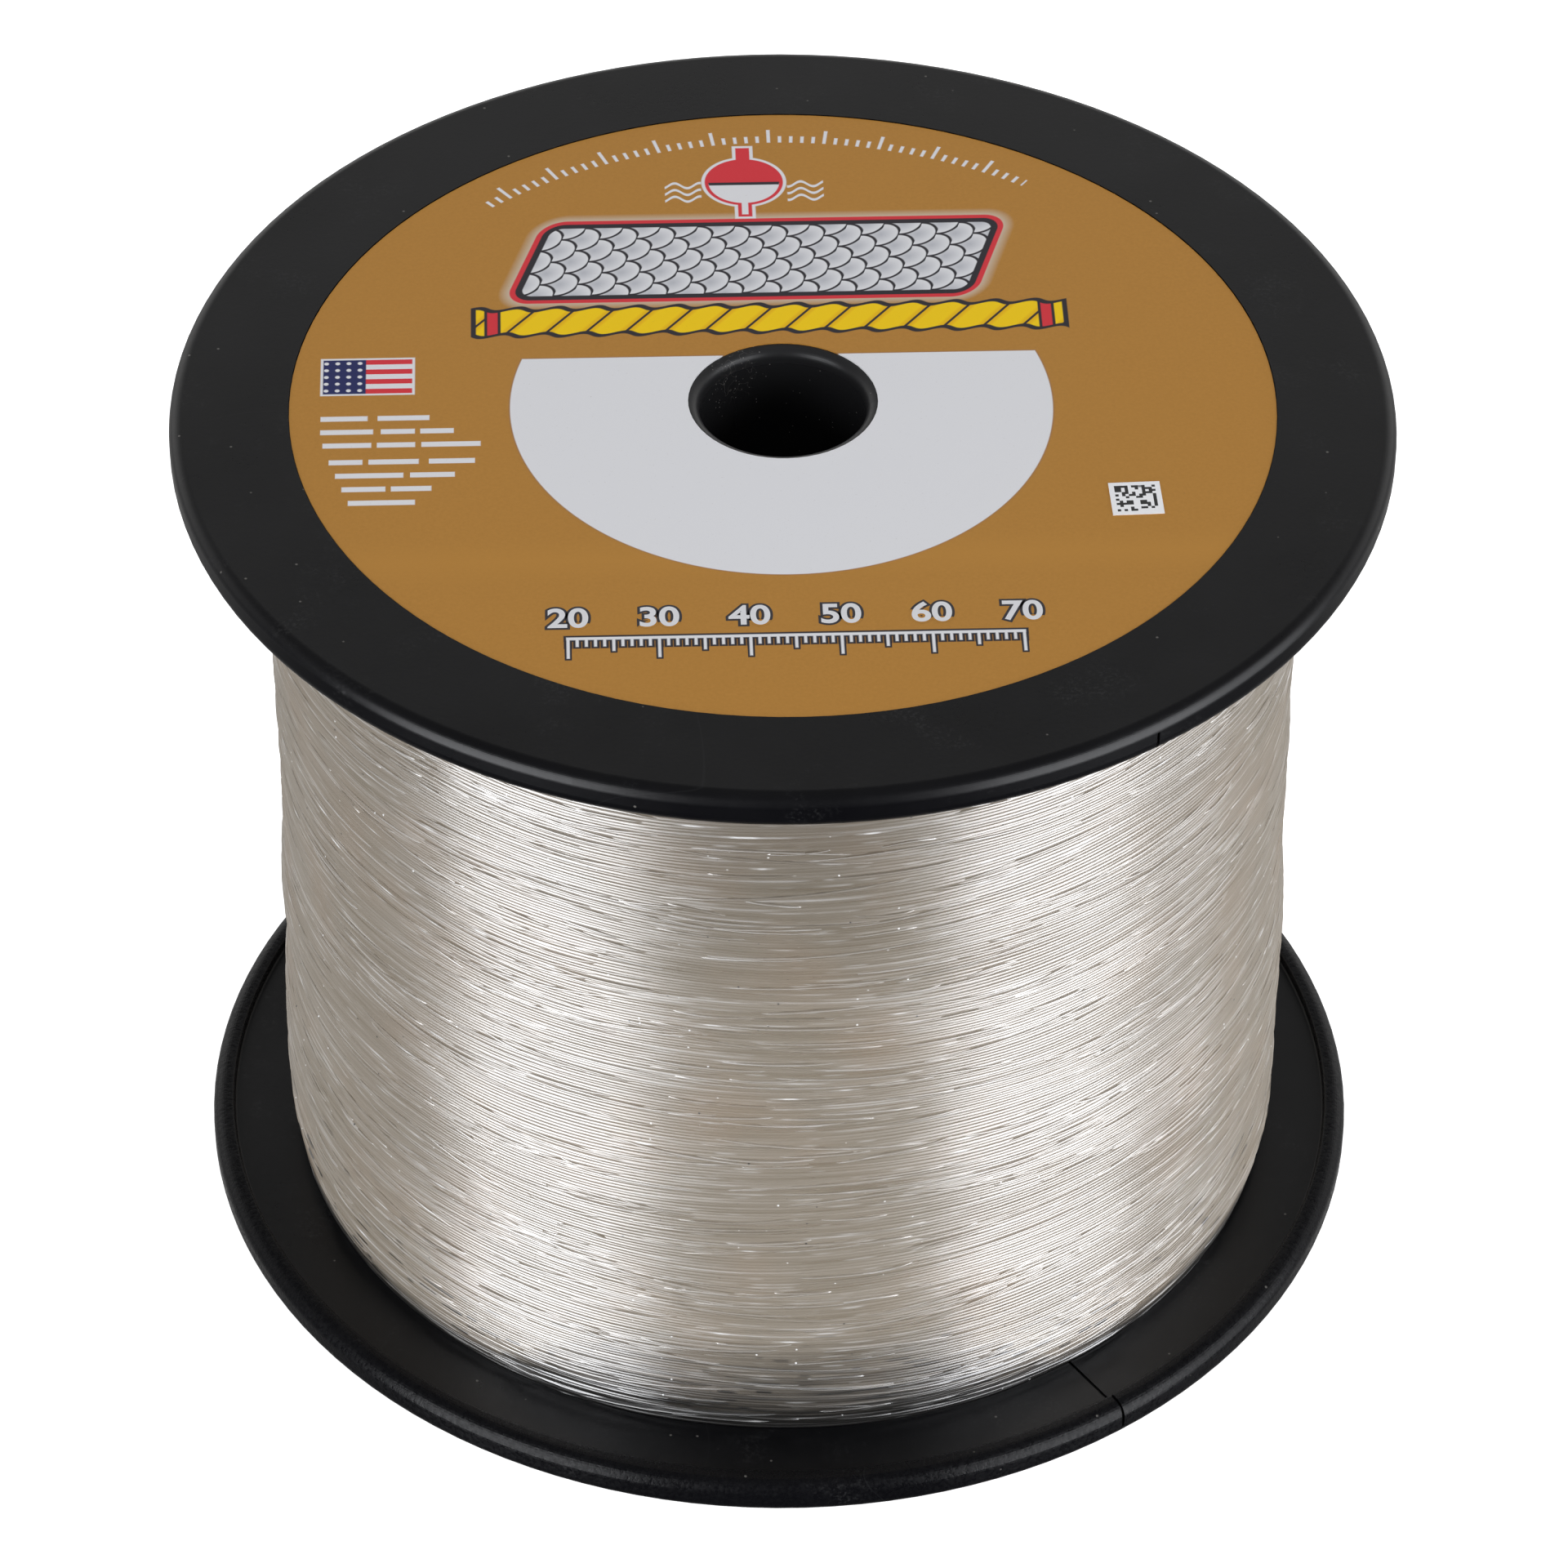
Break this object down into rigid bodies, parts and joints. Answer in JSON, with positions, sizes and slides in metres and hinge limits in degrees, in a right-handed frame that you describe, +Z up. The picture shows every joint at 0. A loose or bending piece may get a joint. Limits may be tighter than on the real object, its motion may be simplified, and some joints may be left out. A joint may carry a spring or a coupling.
{
  "type": "fishing line spool",
  "caption": "Flanged plastic spool full of clear fishing line, with a round paper label on each flange and a bore for an arbor.",
  "frame": {"origin": "centre of the lower flange's outer face, on the surface that the spool stands on", "axes": "+Z up along the bore and spool axis; the label's reading direction faces -Y"},
  "size_m": [0.14, 0.14, 0.11],
  "materials": {
    "black_styrene": "satin moulded",
    "clear_line": "clear glossy filament, wound",
    "gold_label": "printed, semi-matte",
    "white_sticker": "printed, semi-matte",
    "clear_tape": "clear adhesive film"
  },
  "bodies": {
    "root": {"lower_flange": "black_styrene", "upper_flange": "black_styrene", "winding_barrel": "black_styrene", "arbor_tube": "black_styrene", "line_winding": "clear_line", "top_label": "gold_label", "bottom_label": "gold_label", "code_sticker": "white_sticker", "start_tape": "clear_tape", "end_tape": "clear_tape"}
  },
  "joints": []
}
